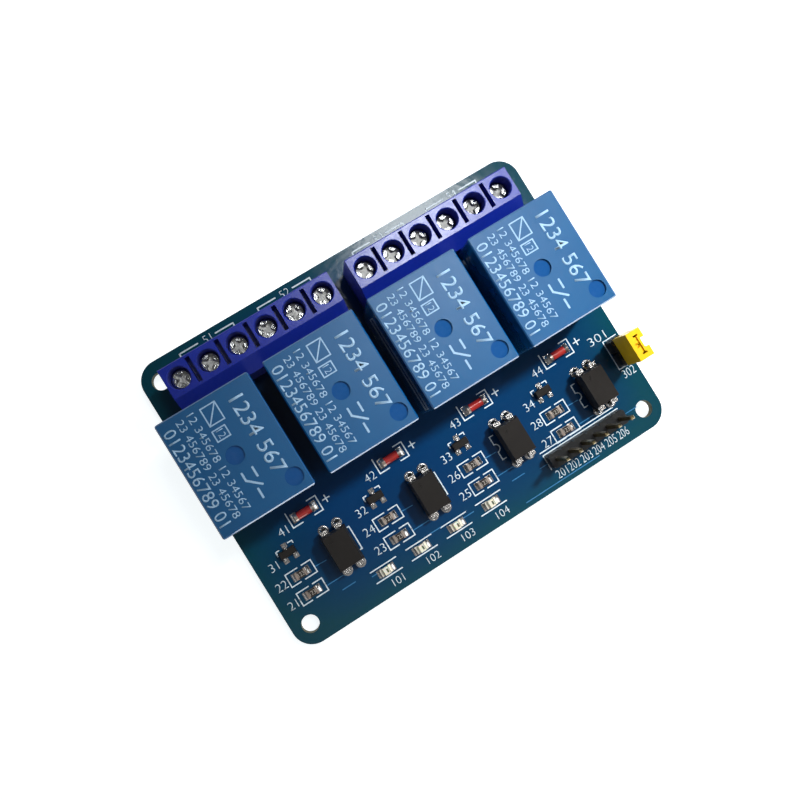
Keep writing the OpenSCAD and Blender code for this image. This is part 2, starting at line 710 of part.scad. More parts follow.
// ================================================================ solder
module solder_joints() {
    color("#c4c6c8") at_all_tails() translate([0, 0, -joint_h]) difference() {
        rotate_extrude($fn = 24)
            polygon([[0, 0], [tail_r() + JOINT_OUT[0], 0],
                     [tail_r() + JOINT_OUT[1], joint_h * joint_waist],
                     [tail_r() + JOINT_OUT[2], joint_h], [0, joint_h]]);
        translate([0, 0, -eps]) block($tail[0], $tail[1], joint_h + 2 * eps);
    }
}

// solder on the upper face: an open ring round each optocoupler hole and a patch under each metal end
module surface_solder() {
    color("#c4c6c8") {
        at_opto_leads() translate([0, 0, top]) difference() {
            cylinder(r = ring_r, h = patch_h, $fn = 32);
            translate([0, 0, -eps])
                cylinder(r = tail_r() + drill_gap + ring_lap, h = patch_h + 2 * eps, $fn = 24);
        }
        at_resistors() translate([0, 0, -patch_h]) end_patches(chip_l, chip_w);
        at_lights() translate([0, 0, -patch_h]) end_patches(chip_l, chip_w);
        translate([0, 0, top]) for (i = [0:CHANNELS - 1]) {
            translate([channel_x(i) + DIODE_DX, diode_y, 0]) end_patches(diode_l, diode_d);
            translate([channel_x(i) + TRANSISTOR_DX, transistor_y, 0]) {
                for (p = [[0, 1], [-1, -1], [1, -1]])
                    translate([p[0] * transistor_pitch / 2, p[1] * transistor_reach / 2, 0])
                        block(TRANSISTOR_PATCH[0], TRANSISTOR_PATCH[1], patch_h);
            }
        }
    }
}
module end_patches(l, w) {
    for (s = [-1, 1]) translate([s * (l / 2 + patch_shift), 0, 0])
        block(patch_l, w + patch_over, patch_h);
}

circuit_board();
for (i = [1:CHANNELS]) {
    relay_case(i - 1);
    relay_base(i - 1);
    terminal_housing(i - 1);
    optocoupler(i - 1);
}
for (n = [1:CHANNELS * POLES]) {
    terminal_screw(n - 1);
    wire_clamp(n - 1);
}
relay_pins();
terminal_contacts();
optocoupler_leads();
resistors();
resistor_ends();
light_bases();
light_lenses();
diode_bodies();
diode_caps();
transistors();
transistor_leads();
input_header_base();
input_header_pins();
jumper_header_base();
jumper_header_pins();
jumper_cap();
jumper_clip();
solder_joints();
surface_solder();
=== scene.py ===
# %% [markdown]
# # A four-channel relay module
#
# The circuit board, its relays, terminals and small parts come from the CAD model as a fixed frame. This
# script adds what a CAD model leaves out: finishes, the print on the board and on the relays, solder
# fillets and the digits on the chips. Only the terminal housings are shown by new pieces, because they
# carry a slot that their solids lack. Every place is worked out from the frame. Blender's lengths are
# metres, so MM turns millimetres into them, and HAIR is a length too small to see.

# %% Load the frame
import math

import bmesh
import bpy
from mathutils import Matrix, Vector


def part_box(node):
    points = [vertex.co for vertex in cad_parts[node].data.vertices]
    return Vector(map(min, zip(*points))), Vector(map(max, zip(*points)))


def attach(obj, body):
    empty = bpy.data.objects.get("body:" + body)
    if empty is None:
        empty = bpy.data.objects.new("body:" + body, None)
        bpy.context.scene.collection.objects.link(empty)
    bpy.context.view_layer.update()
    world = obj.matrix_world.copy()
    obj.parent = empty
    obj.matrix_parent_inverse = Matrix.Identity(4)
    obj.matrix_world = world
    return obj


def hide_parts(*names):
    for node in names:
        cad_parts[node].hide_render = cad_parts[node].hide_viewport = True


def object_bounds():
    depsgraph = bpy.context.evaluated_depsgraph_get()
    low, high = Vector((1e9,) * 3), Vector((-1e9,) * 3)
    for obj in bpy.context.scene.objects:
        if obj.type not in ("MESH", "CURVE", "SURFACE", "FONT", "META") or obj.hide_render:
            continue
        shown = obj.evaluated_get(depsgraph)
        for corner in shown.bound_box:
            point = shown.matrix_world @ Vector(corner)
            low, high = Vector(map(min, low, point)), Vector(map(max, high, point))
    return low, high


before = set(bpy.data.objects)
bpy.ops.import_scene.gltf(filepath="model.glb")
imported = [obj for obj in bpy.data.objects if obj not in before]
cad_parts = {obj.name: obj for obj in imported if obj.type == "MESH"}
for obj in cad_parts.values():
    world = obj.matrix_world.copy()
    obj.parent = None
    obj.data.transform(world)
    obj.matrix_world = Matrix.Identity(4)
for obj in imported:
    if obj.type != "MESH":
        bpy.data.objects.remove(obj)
cad_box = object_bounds()
MM = 0.001
HAIR = 0.001 * MM

# %% [markdown]
# ## Where the small parts are
#
# Like parts share one CAD node, so the node's box says little. Their places could be typed in again, but
# then the print would stay behind when the board changes. So a copy of the node's mesh is merged and split
# into its loose solids, and each solid's box gives the place of one chip, lead or joint.

# %% Boxes of the solids in a node
def solids(node):
    """The boxes of a node's loose solids, from left to right."""
    mesh = bmesh.new()
    mesh.from_mesh(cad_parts[node].data)
    bmesh.ops.remove_doubles(mesh, verts=mesh.verts, dist=HAIR)
    left, boxes = set(mesh.verts), []
    while left:
        island, edge = set(), {left.pop()}
        while edge:
            island |= edge
            edge = {e.other_vert(v) for v in edge for e in v.link_edges} - island
        left -= island
        corners = list(zip(*(v.co for v in island)))
        boxes.append((Vector([min(c) for c in corners]), Vector([max(c) for c in corners])))
    mesh.free()
    return sorted(boxes, key=lambda b: (round(b[0].x, 5), round(b[0].y, 5)))


def numbered(name, count=4):
    return [f"{name}_{n}" for n in range(1, count + 1)]


def spot(box):
    """The middle of a box seen from above, in millimetres."""
    point = (box[0] + box[1]) / 2 / MM
    return point.x, point.y


# %% Places that the rest is worked out from
board_low, board_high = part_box("circuit_board")
board_top = board_high.z
relays = [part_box(name) for name in numbered("relay_case")]
housings = [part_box(name) for name in numbered("terminal_housing")]
optos = [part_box(name) for name in numbered("optocoupler")]
chips, lights = solids("resistors"), solids("light_lenses")
diodes, transistors = solids("diode_bodies"), solids("transistors")
print("chips", len(chips), "lights", len(lights), "diodes", len(diodes), "transistors", len(transistors))

# %% [markdown]
# ## Camera
#
# The module is seen from almost straight above, turned on the table so that its long side climbs to the
# right. A constraint could aim the camera at the board, but three named turns say more plainly how it is
# held. They are undone in the reverse order to get the camera's own axes.

# %% Camera above the board
turn, pitch, roll = 0.554, -0.0076, 0.1121
eye = Vector((-16.77, -0.9, 133.99)) * MM + Vector((0, 0, board_top))
camera_data = bpy.data.cameras.new("camera")
camera_data.sensor_width = 36
camera_data.lens = 36.116
camera_data.clip_start = 1 * MM
camera = bpy.data.objects.new("camera", camera_data)
bpy.context.scene.collection.objects.link(camera)
looking = (Matrix.Rotation(-roll, 4, "Y") @ Matrix.Rotation(-pitch, 4, "X")
           @ Matrix.Rotation(-turn, 4, "Z"))
camera.matrix_world = Matrix.Translation(eye) @ looking
bpy.context.scene.camera = camera
print("camera", round((eye.z - board_top) / MM), "mm above the board")

# %% [markdown]
# ## Finishes as expressions
#
# A node material is easier to read as sums and products than as a web of nodes. `Wire` wraps a socket and
# gives it plain operators, `Nodes` adds a node of any type, and `Finish` holds a material with its one
# shader. What is the same all over goes straight on the shader's sockets.

# %% A socket with plain operators
class Wire:
    def __init__(self, finish, socket):
        self.finish, self.socket = finish, socket

    def math(self, operation, *values):
        return self.finish.node("ShaderNodeMath", {"operation": operation}, dict(enumerate(values)))

    def __add__(self, other):
        return self.math("ADD", self, other)

    def __radd__(self, other):
        return self.math("ADD", other, self)

    def __sub__(self, other):
        return self.math("SUBTRACT", self, other)

    def __rsub__(self, other):
        return self.math("SUBTRACT", other, self)

    def __mul__(self, other):
        return self.math("MULTIPLY", self, other)

    def __rmul__(self, other):
        return self.math("MULTIPLY", other, self)

    def __truediv__(self, other):
        return self.math("DIVIDE", self, other)

    def __pow__(self, other):
        return self.math("POWER", self, other)

    def __gt__(self, other):
        return self.math("GREATER_THAN", self, other)

    def __lt__(self, other):
        return self.math("LESS_THAN", self, other)

    def __abs__(self):
        return self.math("ABSOLUTE", self)


# %% Nodes of a material or of the sky
class Nodes:
    def __init__(self, owner, kind):
        owner.use_nodes = True
        self.tree = owner.node_tree
        self.shader = next(n for n in self.tree.nodes if n.type == kind)

    def node(self, kind, settings=None, inputs=None, out=0):
        made = self.tree.nodes.new(kind)
        for key, value in (settings or {}).items():
            setattr(made, key, value)
        for key, value in (inputs or {}).items():
            if isinstance(value, Wire):
                self.tree.links.new(value.socket, made.inputs[key])
            else:
                made.inputs[key].default_value = value
        return Wire(self, made.outputs[out])

    def clamp(self, value):
        return self.node("ShaderNodeClamp", inputs={"Value": value})

    def feed(self, socket, wire):
        self.tree.links.new(wire.socket, self.shader.inputs[socket])


# %% A material with one shader
class Finish(Nodes):
    def __init__(self, name, **same):
        self.material = bpy.data.materials.new(name)
        super().__init__(self.material, "BSDF_PRINCIPLED")
        for socket, value in same.items():
            self.shader.inputs[socket.replace("_", " ")].default_value = value

    def place(self, axis=None):
        point = self.node("ShaderNodeTexCoord", out="Object")
        return point if axis is None else self.node("ShaderNodeSeparateXYZ", inputs={0: point}, out=axis)

    def noise(self, size, detail=2.0):
        """Soft patches about as large as a size in millimetres."""
        settings = {"Vector": self.place(), "Scale": 1 / (size * MM), "Detail": detail}
        return self.node("ShaderNodeTexNoise", inputs=settings, out="Fac")

    def up(self):
        normal = self.node("ShaderNodeNewGeometry", out="True Normal")
        return self.node("ShaderNodeSeparateXYZ", inputs={0: normal}, out="Z")

    def upright(self):
        """1 on faces that stand on edge, 0 on those that look up or down."""
        return 1 - (abs(self.up()) > 0.5)

    def below(self, level):
        """1 on faces that look up from deeper than a level, 0 elsewhere."""
        return (self.place("Z") < level) * (self.up() > 0.5)

    def mix(self, factor, first, second):
        inputs = {"Factor": factor, 6: first, 7: second}
        return self.node("ShaderNodeMix", {"data_type": "RGBA"}, inputs, out=2)

    def bump(self, height, depth):
        inputs = {"Height": height, "Distance": depth * MM, "Strength": 1.0}
        self.feed("Normal", self.node("ShaderNodeBump", inputs=inputs))


# %% Colours, and a finish put on pieces
def srgb(red, green, blue):
    def straight(c):
        c /= 255
        return c / 12.92 if c <= 0.04045 else ((c + 0.055) / 1.055) ** 2.4
    return (straight(red), straight(green), straight(blue), 1.0)


def dress(finish, *names):
    for name in names:
        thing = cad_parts[name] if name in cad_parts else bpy.data.objects[name]
        thing.data.materials.clear()
        thing.data.materials.append(finish.material)
    print(finish.material.name, "on", *names)


# %% [markdown]
# ## Solder mask
#
# The board is glass fibre under a glossy blue lacquer. The lacquer looks deep blue in the middle and greener
# towards the rim, so one mask measures how near the rim a point lies. Cut edges have no lacquer: wherever
# the surface stands upright, the tan laminate shows. Two materials on two sets of faces would do the same,
# but the direction of the surface already tells them apart.

# %% Board finish
mask = Finish("solder mask", Specular_IOR_Level=0.4)
half_length, half_width = (board_high.x - board_low.x) / 2, (board_high.y - board_low.y) / 2
squareness = 6.0
rim = ((abs(mask.place("X")) / half_length) ** squareness
       + (abs(mask.place("Y")) / half_width) ** squareness)
rim = mask.clamp(rim + (mask.noise(14) - 0.5) * 0.5)
lacquer = mask.mix(rim, srgb(2, 47, 88), srgb(7, 63, 72))
lacquer = mask.mix(mask.noise(0.6, 4) * 0.25, lacquer, srgb(8, 62, 104))
cut_edge = mask.upright()
laminate = mask.mix(mask.noise(0.12, 3), srgb(120, 112, 74), srgb(84, 92, 66))
mask.feed("Base Color", mask.mix(cut_edge, lacquer, laminate))
mask.feed("Roughness", 0.09 + 0.5 * cut_edge + 0.06 * mask.noise(1.2))
mask.bump(mask.noise(0.9, 3), 0.012)
dress(mask, "circuit_board")

# %% [markdown]
# ## Moulded plastics
#
# The relay cases are satin: a fine spark-eroded grain from the mould, which a tiny bump gives. The terminals
# are deeper in colour, smoother on top and duller at the sides. Both are the same recipe with other numbers,
# so one function makes them. The round marks sunk in a relay's top are dull, and their darker colour is
# painted shade in the recess. A relay's sides are smooth enough to mirror the board.

# %% Recipe for a plastic
def moulded(name, light, dark, rough, grain, depth, flanks=1.0, sunk=None, **same):
    """Two close shades, and a grain of a size and depth in millimetres on the faces that look up.

    Flanks scales the roughness of upright faces. Sunk is a level and a darker colour for what lies deeper,
    painted shade in a recess, which is also made duller.
    """
    plastic = Finish(name, **same)
    colour = plastic.mix(plastic.noise(3.5, 3), light, dark)
    sides = abs(plastic.up()) < 0.95
    roughness = (rough + 0.12 * (plastic.noise(0.8, 3) - 0.5)) * (1 + (flanks - 1) * sides)
    if sunk:
        # Below the level: a darker colour painted as shade in the recess, and more roughness.
        marks = plastic.below(sunk[0])
        colour = plastic.mix(marks, colour, sunk[1])
        roughness = roughness * (1 + 1.2 * marks)
    plastic.feed("Base Color", colour)
    plastic.feed("Roughness", roughness)
    plastic.bump(plastic.noise(grain, 2) * (1 - sides), depth)
    return plastic


# %% Plastics
dimple_level = relays[0][1].z - 0.1 * MM
# The sunk marks' darker blue is painted shade in the recess.
relay_blue = moulded("relay plastic", srgb(18, 88, 137), srgb(14, 80, 129), 0.34, 0.12, 0.008,
                     flanks=0.18, sunk=(dimple_level, srgb(7, 74, 134)), Specular_IOR_Level=0.62)
dress(relay_blue, *numbered("relay_case"))
base_blue = moulded("relay base", srgb(24, 40, 62), srgb(18, 32, 52), 0.6, 0.2, 0.02)
dress(base_blue, *numbered("relay_base"))
terminal_blue = moulded("terminal plastic", srgb(8, 38, 158), srgb(6, 32, 140), 0.24, 0.25, 0.008,
                        flanks=2.8, Specular_IOR_Level=1.0)
dress(terminal_blue, *numbered("terminal_housing"))
epoxy = moulded("dark epoxy", srgb(35, 31, 28), srgb(28, 24, 22), 0.5, 0.1, 0.02,
                Specular_IOR_Level=0.3)
dress(epoxy, *numbered("optocoupler"), "transistors")
nylon = moulded("black nylon", srgb(26, 26, 27), srgb(18, 18, 19), 0.42, 0.2, 0.01)
dress(nylon, "input_header_base", "jumper_header_base")
yellow = moulded("cap plastic", srgb(244, 200, 22), srgb(236, 186, 14), 0.35, 0.3, 0.01)
dress(yellow, "jumper_cap")

# %% [markdown]
# ## Metals
#
# Tinned leads and solder are bright and slightly uneven, plated screws have larger dents, and the header
# pins have a thin gilding. Modelled dents would cost many faces on such small parts, so a bump gives them.
# The metals differ in colour, roughness and the size of the dents. A screw's cross, deeper than a level
# under the head's top, is made duller by the punch, and its grey is painted shade in the recess.

# %% Recipe for a metal
def metal(name, bright, dull, rough, dent, depth, sunk=None):
    """Two shades, and dents of a size and depth in millimetres. Sunk is a level and a grey under it, painted
    shade in a recess, which is also made duller.
    """
    made = Finish(name, Metallic=1.0)
    colour = made.mix(made.noise(dent * 3, 3), bright, dull)
    roughness = rough + 0.14 * made.noise(dent * 2)
    if sunk:
        # Under the level: a grey painted as shade in the recess, and more roughness.
        shaded_dull_recess = made.clamp((sunk[0] - made.place("Z")) / (0.08 * MM))
        colour = made.mix(shaded_dull_recess, colour, sunk[1])
        roughness = roughness + 0.25 * shaded_dull_recess
    made.feed("Base Color", colour)
    made.feed("Roughness", roughness)
    made.bump(made.noise(dent, 3), depth)
    return made


# %% Metals
tin = metal("tinned copper", srgb(236, 232, 228), srgb(200, 192, 186), 0.16, 0.2, 0.06)
dress(tin, "relay_pins", "terminal_contacts", "optocoupler_leads", "transistor_leads")
fired = metal("fired silver", srgb(240, 226, 214), srgb(176, 146, 128), 0.26, 0.22, 0.04)
dress(fired, "resistor_ends", "diode_caps")
punch_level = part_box("terminal_screw_1")[1].z - 0.12 * MM
# The grey in the screw's cross is painted shade in its recess.
plated = metal("plated steel", srgb(232, 232, 230), srgb(190, 190, 190), 0.12, 0.4, 0.08,
               sunk=(punch_level, srgb(196, 194, 190)))
dress(plated, *numbered("terminal_screw", 12))
pressing = metal("plated pressing", srgb(196, 196, 196), srgb(160, 160, 162), 0.32, 0.4, 0.02)
dress(pressing, *numbered("wire_clamp", 12))
gilt = metal("gilded pins", srgb(190, 172, 128), srgb(120, 104, 76), 0.24, 0.3, 0.01)
dress(gilt, "input_header_pins", "jumper_header_pins")
bronze = metal("spring bronze", srgb(176, 112, 48), srgb(132, 80, 34), 0.3, 0.3, 0.01)
dress(bronze, "jumper_clip")
solder = metal("solder", srgb(236, 234, 232), srgb(196, 192, 190), 0.12, 0.3, 0.035)
dress(solder, "solder_joints", "surface_solder")

# %% [markdown]
# ## Chips, lights and diodes
#
# A chip resistor is a dark glaze on a pale ceramic, so its upright sides are lighter than its top. The
# lights are milky resin on a white base, where a little light scatters under the surface. The diodes are red
# glass: a clear glass would show an empty inside, so a red body has a coat of gloss instead.

# %% Small parts' finishes
glaze = Finish("resistor glaze", Coat_Weight=0.4)
ceramic = srgb(176, 160, 140)
dark_top = glaze.mix(glaze.noise(0.3), srgb(52, 42, 34), srgb(34, 27, 23))
glaze.feed("Base Color", glaze.mix(glaze.upright(), dark_top, ceramic))
glaze.feed("Roughness", 0.3 + 0.2 * glaze.noise(0.2))
dress(glaze, "resistors")
substrate = moulded("light substrate", srgb(238, 232, 218), srgb(222, 212, 192), 0.5, 0.2, 0.01)
dress(substrate, "light_bases")
resin = moulded("light resin", srgb(244, 236, 220), srgb(230, 218, 194), 0.22, 0.3, 0.01,
                Coat_Weight=0.5, Subsurface_Weight=0.2, Subsurface_Scale=0.0006)
dress(resin, "light_lenses")
red_glass = moulded("diode glass", srgb(204, 56, 46), srgb(104, 16, 16), 0.12, 0.3, 0.01,
                    Coat_Weight=0.8, Coat_Roughness=0.05)
dress(red_glass, "diode_bodies")

# %% [markdown]
# ## Slots between the terminals
#
# A row is two housings of three ways, with a slot between every two wells. The slot at their joint is shared
# by both ends, but the solids have its half at a row's outer end instead, as a shallow bite. A dark stripe
# could stand in for the missing slot, but it would not catch the light, so each housing is shown by a copy
# of its mesh: the bite is drawn back to the face, and a Boolean with a block cuts the slot at the joint.
# Operators act on all that is selected, so each step starts from an empty selection.

# %% Helpers for operators
def clear_selection():
    if bpy.context.object and bpy.context.object.mode != "OBJECT":
        bpy.ops.object.mode_set(mode="OBJECT")
    bpy.ops.object.select_all(action="DESELECT")


def make_active(thing):
    clear_selection()
    thing.select_set(True)
    bpy.context.view_layer.objects.active = thing


def apply_place():
    bpy.ops.object.transform_apply(location=True, rotation=True, scale=True)


# %% A housing's copy without its bite
slot_size = Vector((0.75, 4.3, 2.4)) * MM
slot_from_back = 0.435 * MM
bite_depth, bite_reach = 1.1 * slot_size.z, slot_size.x / 4


def whole_housing(node, top, outer):
    shape = bmesh.new()
    shape.from_mesh(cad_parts[node].data)
    bmesh.ops.remove_doubles(shape, verts=shape.verts, dist=HAIR)
    for corner in shape.verts:
        if corner.co.z > top - bite_depth and abs(corner.co.x - outer) < bite_reach:
            corner.co.x = outer
    bmesh.ops.remove_doubles(shape, verts=shape.verts, dist=HAIR)
    bmesh.ops.dissolve_degenerate(shape, edges=shape.edges, dist=HAIR / 2)
    mesh = bpy.data.meshes.new(node.replace("housing", "shell"))
    shape.to_mesh(mesh)
    shape.free()
    shell = bpy.data.objects.new(mesh.name, mesh)
    bpy.context.scene.collection.objects.link(shell)
    return shell


# %% A slot cut at the joint
def cut_slot(shell, joint, back, top):
    clear_selection()
    place = (joint, back - slot_from_back - slot_size.y / 2, top)
    bpy.ops.mesh.primitive_cube_add(size=1, location=place)
    cutter = bpy.context.object
    cutter.scale = (slot_size.x, slot_size.y, 2 * slot_size.z)
    apply_place()
    cut = shell.modifiers.new("slot", "BOOLEAN")
    cut.operation, cut.solver, cut.object = "DIFFERENCE", "EXACT", cutter
    make_active(shell)
    bpy.ops.mesh.customdata_custom_splitnormals_clear()
    bpy.ops.object.modifier_apply(modifier=cut.name)
    bpy.data.objects.remove(cutter)
    bpy.ops.object.shade_smooth_by_angle(angle=math.radians(30))


# %% Housings with the slot at their joint
for n, node in enumerate(numbered("terminal_housing")):
    low, high = housings[n]
    joint = low.x if n % 2 else housings[n + 1][0].x
    outer = high.x if n % 2 else low.x
    shell = whole_housing(node, high.z, outer)
    cut_slot(shell, joint, high.y, high.z)
    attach(shell, "board")
    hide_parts(node)
    dress(terminal_blue, shell.name)
    print(shell.name, len(shell.data.polygons), "faces")

# %% [markdown]
# ## Printing
#
# Board print is a thin film of white ink. It could be painted by the board's material, but lines and digits
# are hard to write as node maths, and as pieces they stay sharp at any distance. Each line is a plane with
# rounded corners, each number is a text turned into a mesh. All that share a film are joined and given one
# thickness with Solidify. A flat mark has no inside, so its normals may come out either way round: most
# marks are thickened upwards and some down into the surface, a hair deep. Only plain numbers and outlines
# are printed.

# %% Lines
film_lift = 0.003 * MM


def beside(centre, offset):
    return centre[0] + offset[0], centre[1] + offset[1]


def stroke(start, end, width, level):
    clear_selection()
    start, end = Vector(start), Vector(end)
    run = end - start
    bpy.ops.mesh.primitive_plane_add(size=1, location=(*((start + end) / 2 * MM), level),
                                     rotation=(0, 0, math.atan2(run.y, run.x)))
    bar = bpy.context.object
    bar.scale = ((run.length + width) * MM, width * MM, 1)
    apply_place()
    bpy.ops.object.mode_set(mode="EDIT")
    bpy.ops.mesh.select_all(action="SELECT")
    bpy.ops.mesh.bevel(offset=0.3 * width * MM, segments=2, affect="VERTICES")
    bpy.ops.object.mode_set(mode="OBJECT")
    return bar


def path(centre, offsets, width, level):
    """Strokes end to end, every other one a hair higher so that no two faces coincide."""
    points = [beside(centre, offset) for offset in offsets]
    return [stroke(a, b, width, level + n % 2 * HAIR) for n, (a, b) in enumerate(zip(points, points[1:]))]


# %% Numbers
def number(text, place, height, level, angle=0.0, length=None, weight=-0.012):
    """Digits centred on a place, fitted to a height and, where one is given, to a length."""
    clear_selection()
    bpy.ops.object.text_add()
    label = bpy.context.object
    label.data.body, label.data.size = text, height * MM
    label.data.offset = weight * height * MM
    label.data.resolution_u = 3
    bpy.ops.object.convert(target="MESH")
    label = bpy.context.object
    xs, ys = [v.co.x for v in label.data.vertices], [v.co.y for v in label.data.vertices]
    tall = height * MM / (max(ys) - min(ys))
    wide = length * MM / (max(xs) - min(xs)) if length else tall
    label.data.transform(Matrix.Translation((place[0] * MM, place[1] * MM, level))
                         @ Matrix.Rotation(angle, 4, "Z") @ Matrix.Diagonal((wide, tall, 1, 1))
                         @ Matrix.Translation((-(min(xs) + max(xs)) / 2, -(min(ys) + max(ys)) / 2, 0)))
    return label


# %% Films
def join(parts, name):
    """One piece of many, which rides on the board."""
    make_active(parts[0])
    for part in parts:
        part.select_set(True)
    bpy.ops.object.join()
    whole = bpy.context.object
    whole.name = whole.data.name = name
    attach(whole, "board")
    return whole


def film(parts, name, thickness):
    """Flat marks as one piece with a thickness in millimetres."""
    whole = join(parts, name)
    bpy.ops.object.mode_set(mode="EDIT")
    bpy.ops.mesh.select_all(action="SELECT")
    bpy.ops.mesh.remove_doubles(threshold=HAIR / 10)
    bpy.ops.mesh.normals_make_consistent(inside=False)
    bpy.ops.object.mode_set(mode="OBJECT")
    bpy.ops.object.modifier_add(type="SOLIDIFY")
    whole.modifiers[-1].thickness = thickness * MM
    whole.modifiers[-1].offset = 1
    bpy.ops.object.modifier_apply(modifier=whole.modifiers[-1].name)
    print(name, len(parts), "marks,", len(whole.data.polygons), "faces")


# %% [markdown]
# ## Outlines on the board
#
# Chips stand in boxes that are open in the middle of their long sides, lights between two lines, diodes
# between brackets with a plus, and each transistor has two corners of a box. Each kind of part counts up
# from its own number. Outlines are given by their distances from the middle of their part, in millimetres,
# so they move with it.

# %% Ink on the board
ink_level = board_top + 0.004 * MM
line_width = 0.2
usual_digits, small_digits, header_digits = 1.45, 1.3, 1.5
first_number = {"chip": 21, "transistor": 31, "diode": 41, "terminal": 51, "light": 101, "pin": 201,
                "jumper": 301}
marks = []


def board_line(centre, *offsets, width=line_width):
    marks.extend(path(centre, offsets, width, ink_level))


def board_number(value, centre, offset, height=usual_digits, length=None):
    marks.append(number(str(value), beside(centre, offset), height, ink_level, 0, length))


# %% Boxes round the chips
reach, rise, wide_gap, narrow_gap = 2.4, 1.15, 0.7, 0.15
for n, box in enumerate(chips):
    for side in (-1, 1):
        for up in (-1, 1):
            gap = wide_gap if side == up else narrow_gap
            board_line(spot(box), (side * reach, 0), (side * reach, up * rise), (side * gap, up * rise))
    board_number(first_number["chip"] + n, spot(box), (-3.75, -0.1))
print(len(marks), "marks so far")

# %% Lines beside the lights
reach, rise = 2.45, 1.05
for n, box in enumerate(lights):
    for up in (-rise, rise):
        board_line(spot(box), (-reach, up), (reach, up))
    board_number(first_number["light"] + n, spot(box), (0.9, -2.4), small_digits)
print(len(marks), "marks so far")

# %% Brackets and a plus at the diodes
reach, rise, left_jaw, right_jaw = 2.85, 1.35, 1.8, 1.6
plus, arm = 4.15, 0.6
for n, box in enumerate(diodes):
    for side, up, jaw in ((-1, -1, left_jaw), (1, -1, right_jaw), (1, 1, right_jaw)):
        board_line(spot(box), (side * reach, rise), (side * reach, up * rise),
                   (side * (reach - jaw), up * rise))
    board_line(spot(box), (plus - arm, 0), (plus + arm, 0))
    board_line(spot(box), (plus, -arm), (plus, arm))
    board_number(first_number["diode"] + n, spot(box), (-4.6, -0.9))
print(len(marks), "marks so far")

# %% Corners at the transistors
for n, box in enumerate(transistors):
    board_line(spot(box), (-1.75, 0.2), (-1.75, 0.95), (-1.2, 0.95))
    board_line(spot(box), (0.75, 1.3), (1.5, 1.3), (1.5, 0.9))
    board_number(first_number["transistor"] + n, spot(box), (-3.2, -0.9))
print(len(marks), "marks so far")

# %% [markdown]
# The two left optocouplers have a plain line on their right. The two right ones have an outline on their
# left, with the half-round notch that marks the first lead's end.

# %% Print round the optocouplers
edge, corner_y, notch_radius = -3.1, 2.2, 0.7
notch = [(edge + notch_radius * math.cos(a), notch_radius * math.sin(a))
         for a in (math.radians(d) for d in range(90, -91, -30))]
for n, box in enumerate(optos):
    if n < 2:
        board_line(spot(box), (2.0, corner_y), (2.65, corner_y), (2.65, -2.05), (2.2, -2.05))
    else:
        board_line(spot(box), (edge + notch_radius, corner_y), (edge, corner_y), *notch,
                   (edge, -corner_y), (edge + notch_radius, -corner_y))
print(len(marks), "marks so far")

# %% [markdown]
# Behind each terminal there is a bracket in two halves with its number between them. The two headers have
# an outline that is open on one side, and a narrow double line runs between the two middle relays.

# %% Brackets behind the terminals
bracket_width, from_back, hook = 0.24, 2.43, 0.8
for n, box in enumerate(housings):
    centre = (spot(box)[0], box[1].y / MM + from_back)
    for left, right, outer in ((-4.4, -1.0, -4.4), (2.4, 5.7, 5.7)):
        board_line(centre, (left, 0), (right, 0), width=bracket_width)
        board_line(centre, (outer, 0), (outer, -hook), width=bracket_width)
    board_number(first_number["terminal"] + n, centre, (0.8, -0.1), small_digits)

# %% Outlines of the headers
pins, clear = solids("input_header_pins"), 1.35
run = spot(pins[-1])[0] - spot(pins[0])[0]
board_line(spot(pins[0]), (-clear, -clear), (-clear, clear), (run + clear, clear))
board_line(spot(pins[0]), (-clear - 0.2, clear + 0.6), (run + clear - 0.6, clear + 0.6))
for n, pin in enumerate(pins):
    board_number(first_number["pin"] + n, spot(pin), (0, -2 * clear), header_digits, 2.1)

jumper_pins, clear = solids("jumper_header_pins"), 1.5
front, back = spot(jumper_pins[0]), spot(jumper_pins[-1])
run = back[1] - front[1]
board_line(front, (1.2, run + clear), (-1.45, run + clear), (-1.45, -clear), (1.2, -clear))
board_number(first_number["jumper"], back, (-2.0, clear + 1.1), header_digits, 3.4)
board_number(first_number["jumper"] + 1, front, (-0.2, -clear - 1.1), header_digits, 2.4)

# %% Double line between the middle relays
gap_middle, half_gap = ((relays[1][1].x + relays[2][0].x) / 2 / MM, 0), 0.22
near, far = relays[1][0].y / MM + 0.2, relays[1][1].y / MM - 1.15
corners = [(-half_gap, near), (-half_gap, far), (half_gap, far), (half_gap, near)]
board_line(gap_middle, *corners, corners[0])
film(marks, "board_print", 0.02)

# %% [markdown]
# ## Marks on the relays
#
# A relay carries pale print. Here it is plain counting numbers, read from the terminal side, and a simple
# drawing of a coil and a change-over contact. Each line is fitted to its length and height, and taller
# digits get bolder strokes.

# %% Printing inks
def printing_ink(name, thick, thin, patch):
    """An ink that covers unevenly, in patches of a size in millimetres."""
    ink = Finish(name)
    ink.feed("Base Color", ink.mix(ink.noise(patch, 4), thick, thin))
    ink.feed("Roughness", 0.5 + 0.1 * ink.noise(0.5))
    return ink


white_ink = printing_ink("white ink", srgb(232, 238, 240), srgb(184, 200, 210), 0.4)
dress(white_ink, "board_print")
pale_ink = printing_ink("pale ink", srgb(176, 204, 228), srgb(140, 176, 208), 0.35)

# %% What a relay says
# Each line's text, its place across and along the top, its height and its length.
print_lines = (("1234 567", 4.4, 0.9, 2.4, 12.8), ("12 345678 12 34567", -2.5, 0.45, 1.2, 16.1),
               ("23 456789 23 45678", -4.3, 0.3, 1.2, 16.3), ("0123456789 01", -6.35, 0.05, 1.9, 15.9))
coil = [(-0.9, 5.4), (1.5, 5.4), (1.5, 8.3), (-0.9, 8.3)]
plate = [(-1.1, 2.9), (1.0, 2.9), (1.0, 4.6), (-1.1, 4.6)]
contacts = ([(-0.6, -2.8), (-0.6, -4.0), (1.2, -5.6)], [(1.2, -2.8), (1.2, -4.2)],
            [(0.3, -7.3), (0.3, -5.9)])

